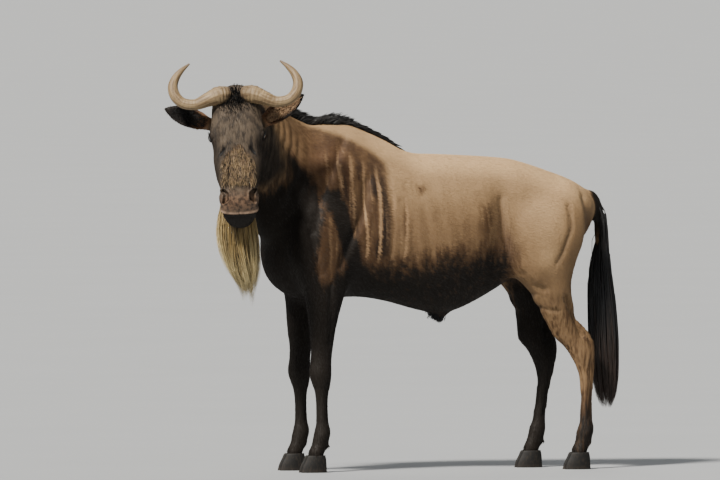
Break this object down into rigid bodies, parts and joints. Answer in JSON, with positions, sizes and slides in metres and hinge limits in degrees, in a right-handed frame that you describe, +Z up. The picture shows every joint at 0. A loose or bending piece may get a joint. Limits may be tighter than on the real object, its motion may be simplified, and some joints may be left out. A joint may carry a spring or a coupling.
{
  "type": "wildebeest",
  "caption": "Still life-size model of a standing white-bearded wildebeest, head turned to its left, with curved horns, mane, pale beard and long tail",
  "frame": {"origin": "centre of the bounding box on the floor, at the level of the hoof soles", "axes": "+Z up, the body along X with the chest towards -X and the tail towards +X, the animal's left side towards -Y"},
  "size_m": [1.8266, 0.6614, 1.5327],
  "materials": {
    "body_coat": "short warm tan-grey coat with darker upright stripes over the shoulder and ribs",
    "neck_coat": "short dark brown coat with upright folds and a black mane along the crest",
    "face_coat": "short grey-black coat with a rough golden-brown bridge of the nose and a long straw-coloured beard",
    "ear_coat": "short dark coat, paler hair inside",
    "horn": "smooth cream to tan horn, a little darker and rougher at the boss",
    "eye": "dark wet brown",
    "tail_hair": "long black hair with a cool sheen, short brown hair at the root",
    "leg_coat": "short dark brown coat, paler on the left hind leg",
    "hoof": "dark worn hoof horn with fine growth rings"
  },
  "bodies": {
    "root": {"torso": "body_coat", "neck": "neck_coat", "head": "face_coat", "ear_left": "ear_coat", "ear_right": "ear_coat", "horn_left": "horn", "horn_right": "horn", "eye_left": "eye", "eye_right": "eye", "tail": "tail_hair", "foreleg_left_upper": "leg_coat", "foreleg_left_lower": "leg_coat", "foreleg_left_hoof": "hoof", "foreleg_right_upper": "leg_coat", "foreleg_right_lower": "leg_coat", "foreleg_right_hoof": "hoof", "hindleg_left_upper": "leg_coat", "hindleg_left_lower": "leg_coat", "hindleg_left_hoof": "hoof", "hindleg_right_upper": "leg_coat", "hindleg_right_lower": "leg_coat", "hindleg_right_hoof": "hoof"}
  },
  "joints": []
}
